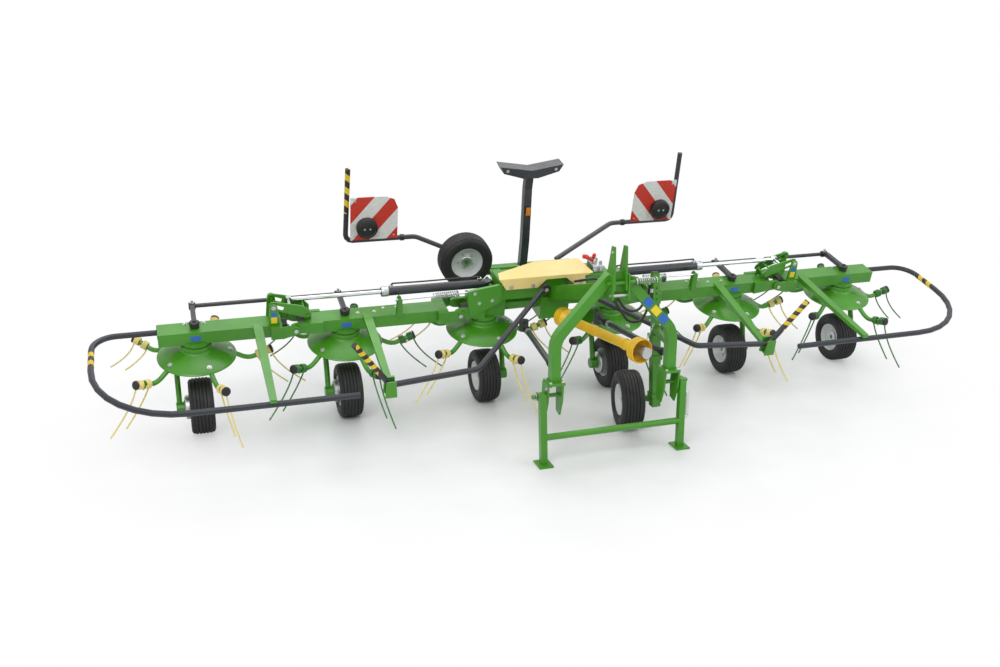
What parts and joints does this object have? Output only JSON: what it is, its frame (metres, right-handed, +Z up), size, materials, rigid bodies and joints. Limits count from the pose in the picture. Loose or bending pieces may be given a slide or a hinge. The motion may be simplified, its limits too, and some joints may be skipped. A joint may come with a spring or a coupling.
{
  "type": "hay tedder",
  "caption": "Mounted hay tedder with folding rotor beams, spring tines, trailing wheels, bent tube guards, warning boards and a parking stand.",
  "frame": {"origin": "on the ground, under the middle of the row of rotors", "axes": "+X to the machine's right side, -Y towards the tractor, +Z up"},
  "size_m": [6.7748, 2.1979, 1.7684],
  "materials": {
    "rubber": "black hose",
    "green": "gloss green paint",
    "dark": "satin anthracite paint",
    "tyre": "ribbed black tyre",
    "yellow": "amber plastic",
    "cream": "cream paint",
    "chrome": "hard chrome",
    "zinc": "zinc plated steel",
    "white": "white board"
  },
  "bodies": {
    "frame": {"centre_frame": "green", "top_cover": "cream", "transport_rest": "dark", "light_frame_left": "dark", "light_frame_right": "dark", "warning_board_left": "white", "warning_board_right": "white", "spare_wheel": "tyre", "spare_carrier": "green", "headstock": "green", "strut_left": "dark", "strut_right": "dark", "gauge_post": "green", "pto_guard": "yellow", "hydraulic_hose_front": "rubber", "hydraulic_hose_rear": "rubber"},
    "mid_left": {"mid_beam_left": "green"},
    "outer_left": {"outer_beam_left": "green", "outer_guard_left": "dark"},
    "inner_guard_left": {"inner_guard_left": "dark"},
    "cylinder_left": {"cylinder_left": "dark"},
    "cylinder_rod_left": {"cylinder_rod_left": "chrome"},
    "fold_lever_left": {"fold_lever_left": "green"},
    "spring_rod_left": {"spring_rod_left": "zinc"},
    "steer_rod_mid_left": {"steer_rod_mid_left": "dark"},
    "steer_rod_outer_left": {"steer_rod_outer_left": "dark"},
    "mid_right": {"mid_beam_right": "green"},
    "outer_right": {"outer_beam_right": "green", "outer_guard_right": "dark"},
    "inner_guard_right": {"inner_guard_right": "dark"},
    "cylinder_right": {"cylinder_right": "dark"},
    "cylinder_rod_right": {"cylinder_rod_right": "chrome"},
    "fold_lever_right": {"fold_lever_right": "green"},
    "spring_rod_right": {"spring_rod_right": "zinc"},
    "steer_rod_mid_right": {"steer_rod_mid_right": "dark"},
    "steer_rod_outer_right": {"steer_rod_outer_right": "dark"},
    "rotor_1": {"rotor_1": "green"},
    "leg_1": {"wheel_leg_1": "green"},
    "wheel_1": {"wheel_1": "tyre"},
    "rotor_2": {"rotor_2": "green"},
    "leg_2": {"wheel_leg_2": "green"},
    "wheel_2": {"wheel_2": "tyre"},
    "rotor_3": {"rotor_3": "green"},
    "leg_3": {"wheel_leg_3": "green"},
    "wheel_3": {"wheel_3": "tyre"},
    "rotor_4": {"rotor_4": "green"},
    "leg_4": {"wheel_leg_4": "green"},
    "wheel_4": {"wheel_4": "tyre"},
    "rotor_5": {"rotor_5": "green"},
    "leg_5": {"wheel_leg_5": "green"},
    "wheel_5": {"wheel_5": "tyre"},
    "rotor_6": {"rotor_6": "green"},
    "leg_6": {"wheel_leg_6": "green"},
    "wheel_6": {"wheel_6": "tyre"},
    "gauge_wheel": {"gauge_wheel": "tyre"},
    "pto_shaft": {"pto_shaft": "yellow"},
    "parking_stand": {"parking_stand": "green"}
  },
  "joints": [
    {"name": "fold_left", "type": "hinge", "parent": "frame", "child": "mid_left", "pos_m": [-0.745, -0.04923, 0.76185], "axis": [0, 0.9692, 0.2462], "range_deg": [0, 90]},
    {"name": "outer_fold_left", "type": "hinge", "parent": "mid_left", "child": "outer_left", "pos_m": [-1.961, -0.04923, 0.76185], "axis": [0, 0.9692, 0.2462], "range_deg": [0, 28]},
    {"name": "lever_left", "type": "hinge", "parent": "mid_left", "child": "fold_lever_left", "pos_m": [-1.865, -0.06892, 0.83938], "axis": [0, 0.9692, 0.2462], "range_deg": [0, 24]},
    {"name": "cylinder_swing_left", "type": "hinge", "parent": "frame", "child": "cylinder_left", "pos_m": [-0.48, -0.04065, 0.93117], "axis": [0, 0.9692, 0.2462], "range_deg": [0, 87]},
    {"name": "cylinder_stroke_left", "type": "slide", "parent": "cylinder_left", "child": "cylinder_rod_left", "axis": [-1, 0, 0], "range_m": [-0.469, 0]},
    {"name": "inner_guard_fold_left", "type": "hinge", "parent": "frame", "child": "inner_guard_left", "pos_m": [-0.1, -0.24988, 0.91002], "axis": [0, 0.9692, 0.2462], "range_deg": [0, 49]},
    {"name": "spring_rod_swing_left", "type": "hinge", "parent": "frame", "child": "spring_rod_left", "pos_m": [-0.67, -0.15258, 0.90068], "axis": [0, 0.9692, 0.2462], "range_deg": [0, 105.3]},
    {"name": "steer_rod_mid_slide_left", "type": "slide", "parent": "mid_left", "child": "steer_rod_mid_left", "axis": [-1, 0, 0], "range_m": [-0.06, 0.06]},
    {"name": "steer_rod_outer_slide_left", "type": "slide", "parent": "outer_left", "child": "steer_rod_outer_left", "axis": [-1, 0, 0], "range_m": [-0.06, 0.06]},
    {"name": "fold_right", "type": "hinge", "parent": "frame", "child": "mid_right", "pos_m": [0.745, -0.04923, 0.76185], "axis": [0, -0.9692, -0.2462], "range_deg": [0, 90]},
    {"name": "outer_fold_right", "type": "hinge", "parent": "mid_right", "child": "outer_right", "pos_m": [1.961, -0.04923, 0.76185], "axis": [0, -0.9692, -0.2462], "range_deg": [0, 28]},
    {"name": "lever_right", "type": "hinge", "parent": "mid_right", "child": "fold_lever_right", "pos_m": [1.865, -0.06892, 0.83938], "axis": [0, -0.9692, -0.2462], "range_deg": [0, 24]},
    {"name": "cylinder_swing_right", "type": "hinge", "parent": "frame", "child": "cylinder_right", "pos_m": [0.48, -0.04065, 0.93117], "axis": [0, -0.9692, -0.2462], "range_deg": [0, 87]},
    {"name": "cylinder_stroke_right", "type": "slide", "parent": "cylinder_right", "child": "cylinder_rod_right", "axis": [1, 0, 0], "range_m": [-0.469, 0]},
    {"name": "inner_guard_fold_right", "type": "hinge", "parent": "frame", "child": "inner_guard_right", "pos_m": [0.1, -0.24988, 0.91002], "axis": [0, -0.9692, -0.2462], "range_deg": [0, 49]},
    {"name": "spring_rod_swing_right", "type": "hinge", "parent": "frame", "child": "spring_rod_right", "pos_m": [0.67, -0.15258, 0.90068], "axis": [0, -0.9692, -0.2462], "range_deg": [0, 105.3]},
    {"name": "steer_rod_mid_slide_right", "type": "slide", "parent": "mid_right", "child": "steer_rod_mid_right", "axis": [-1, 0, 0], "range_m": [-0.06, 0.06]},
    {"name": "steer_rod_outer_slide_right", "type": "slide", "parent": "outer_right", "child": "steer_rod_outer_right", "axis": [-1, 0, 0], "range_m": [-0.06, 0.06]},
    {"name": "rotor_spin_1", "type": "hinge", "parent": "outer_left", "child": "rotor_1", "pos_m": [-2.65, 0, 0.568], "axis": [0, -0.2462, 0.9692], "continuous": true},
    {"name": "steer_1", "type": "hinge", "parent": "outer_left", "child": "leg_1", "pos_m": [-2.65, 0, 0.568], "axis": [0, -0.2462, 0.9692], "range_deg": [-12, 12]},
    {"name": "wheel_spin_1", "type": "hinge", "parent": "leg_1", "child": "wheel_1", "pos_m": [-2.65, -0.06, 0.203], "axis": [1, 0, 0], "continuous": true},
    {"name": "rotor_spin_2", "type": "hinge", "parent": "mid_left", "child": "rotor_2", "pos_m": [-1.59, 0, 0.568], "axis": [0, -0.2462, 0.9692], "continuous": true},
    {"name": "steer_2", "type": "hinge", "parent": "mid_left", "child": "leg_2", "pos_m": [-1.59, 0, 0.568], "axis": [0, -0.2462, 0.9692], "range_deg": [-12, 12]},
    {"name": "wheel_spin_2", "type": "hinge", "parent": "leg_2", "child": "wheel_2", "pos_m": [-1.59, -0.06, 0.203], "axis": [1, 0, 0], "continuous": true},
    {"name": "rotor_spin_3", "type": "hinge", "parent": "frame", "child": "rotor_3", "pos_m": [-0.53, 0, 0.568], "axis": [0, -0.2462, 0.9692], "continuous": true},
    {"name": "steer_3", "type": "hinge", "parent": "frame", "child": "leg_3", "pos_m": [-0.53, 0, 0.568], "axis": [0, -0.2462, 0.9692], "range_deg": [-12, 12]},
    {"name": "wheel_spin_3", "type": "hinge", "parent": "leg_3", "child": "wheel_3", "pos_m": [-0.53, -0.06, 0.203], "axis": [1, 0, 0], "continuous": true},
    {"name": "rotor_spin_4", "type": "hinge", "parent": "frame", "child": "rotor_4", "pos_m": [0.53, 0, 0.568], "axis": [0, -0.2462, 0.9692], "continuous": true},
    {"name": "steer_4", "type": "hinge", "parent": "frame", "child": "leg_4", "pos_m": [0.53, 0, 0.568], "axis": [0, -0.2462, 0.9692], "range_deg": [-12, 12]},
    {"name": "wheel_spin_4", "type": "hinge", "parent": "leg_4", "child": "wheel_4", "pos_m": [0.53, -0.06, 0.203], "axis": [1, 0, 0], "continuous": true},
    {"name": "rotor_spin_5", "type": "hinge", "parent": "mid_right", "child": "rotor_5", "pos_m": [1.59, 0, 0.568], "axis": [0, -0.2462, 0.9692], "continuous": true},
    {"name": "steer_5", "type": "hinge", "parent": "mid_right", "child": "leg_5", "pos_m": [1.59, 0, 0.568], "axis": [0, -0.2462, 0.9692], "range_deg": [-12, 12]},
    {"name": "wheel_spin_5", "type": "hinge", "parent": "leg_5", "child": "wheel_5", "pos_m": [1.59, -0.06, 0.203], "axis": [1, 0, 0], "continuous": true},
    {"name": "rotor_spin_6", "type": "hinge", "parent": "outer_right", "child": "rotor_6", "pos_m": [2.65, 0, 0.568], "axis": [0, -0.2462, 0.9692], "continuous": true},
    {"name": "steer_6", "type": "hinge", "parent": "outer_right", "child": "leg_6", "pos_m": [2.65, 0, 0.568], "axis": [0, -0.2462, 0.9692], "range_deg": [-12, 12]},
    {"name": "wheel_spin_6", "type": "hinge", "parent": "leg_6", "child": "wheel_6", "pos_m": [2.65, -0.06, 0.203], "axis": [1, 0, 0], "continuous": true},
    {"name": "gauge_wheel_spin", "type": "hinge", "parent": "frame", "child": "gauge_wheel", "pos_m": [0.305, -0.905, 0.215], "axis": [-0.9848, 0.1736, 0], "continuous": true},
    {"name": "pto_spin", "type": "hinge", "parent": "frame", "child": "pto_shaft", "pos_m": [0, -0.33, 0.705], "axis": [0.2205, -0.9754, 0.0081], "continuous": true},
    {"name": "stand_fold", "type": "hinge", "parent": "frame", "child": "parking_stand", "pos_m": [0, -1.28, 0.47], "axis": [-1, 0, 0], "range_deg": [0, 90]}
  ],
  "couplings": [
    {"joint": "outer_fold_left", "follows": "fold_left", "ratio": 0.311},
    {"joint": "lever_left", "follows": "fold_left", "ratio": 0.26},
    {"joint": "cylinder_swing_left", "follows": "fold_left", "ratio": 0.963},
    {"joint": "cylinder_stroke_left", "follows": "fold_left", "m_per_rad": -0.298},
    {"joint": "inner_guard_fold_left", "follows": "fold_left", "ratio": 0.541},
    {"joint": "spring_rod_swing_left", "follows": "fold_left", "ratio": 1.168},
    {"joint": "steer_rod_mid_slide_left", "follows": "steer_3", "m_per_rad": 0.26},
    {"joint": "steer_rod_outer_slide_left", "follows": "steer_3", "m_per_rad": 0.26},
    {"joint": "outer_fold_right", "follows": "fold_right", "ratio": 0.311},
    {"joint": "lever_right", "follows": "fold_right", "ratio": 0.26},
    {"joint": "cylinder_swing_right", "follows": "fold_right", "ratio": 0.963},
    {"joint": "cylinder_stroke_right", "follows": "fold_right", "m_per_rad": -0.298},
    {"joint": "inner_guard_fold_right", "follows": "fold_right", "ratio": 0.541},
    {"joint": "spring_rod_swing_right", "follows": "fold_right", "ratio": 1.168},
    {"joint": "steer_rod_mid_slide_right", "follows": "steer_3", "m_per_rad": 0.26},
    {"joint": "steer_rod_outer_slide_right", "follows": "steer_3", "m_per_rad": 0.26},
    {"joint": "rotor_spin_1", "follows": "rotor_spin_3", "ratio": 1},
    {"joint": "steer_1", "follows": "steer_3", "ratio": 1},
    {"joint": "rotor_spin_2", "follows": "rotor_spin_3", "ratio": -1},
    {"joint": "steer_2", "follows": "steer_3", "ratio": 1},
    {"joint": "rotor_spin_4", "follows": "rotor_spin_3", "ratio": -1},
    {"joint": "steer_4", "follows": "steer_3", "ratio": 1},
    {"joint": "rotor_spin_5", "follows": "rotor_spin_3", "ratio": 1},
    {"joint": "steer_5", "follows": "steer_3", "ratio": 1},
    {"joint": "rotor_spin_6", "follows": "rotor_spin_3", "ratio": -1},
    {"joint": "steer_6", "follows": "steer_3", "ratio": 1},
    {"joint": "pto_spin", "follows": "rotor_spin_3", "ratio": 3}
  ]
}
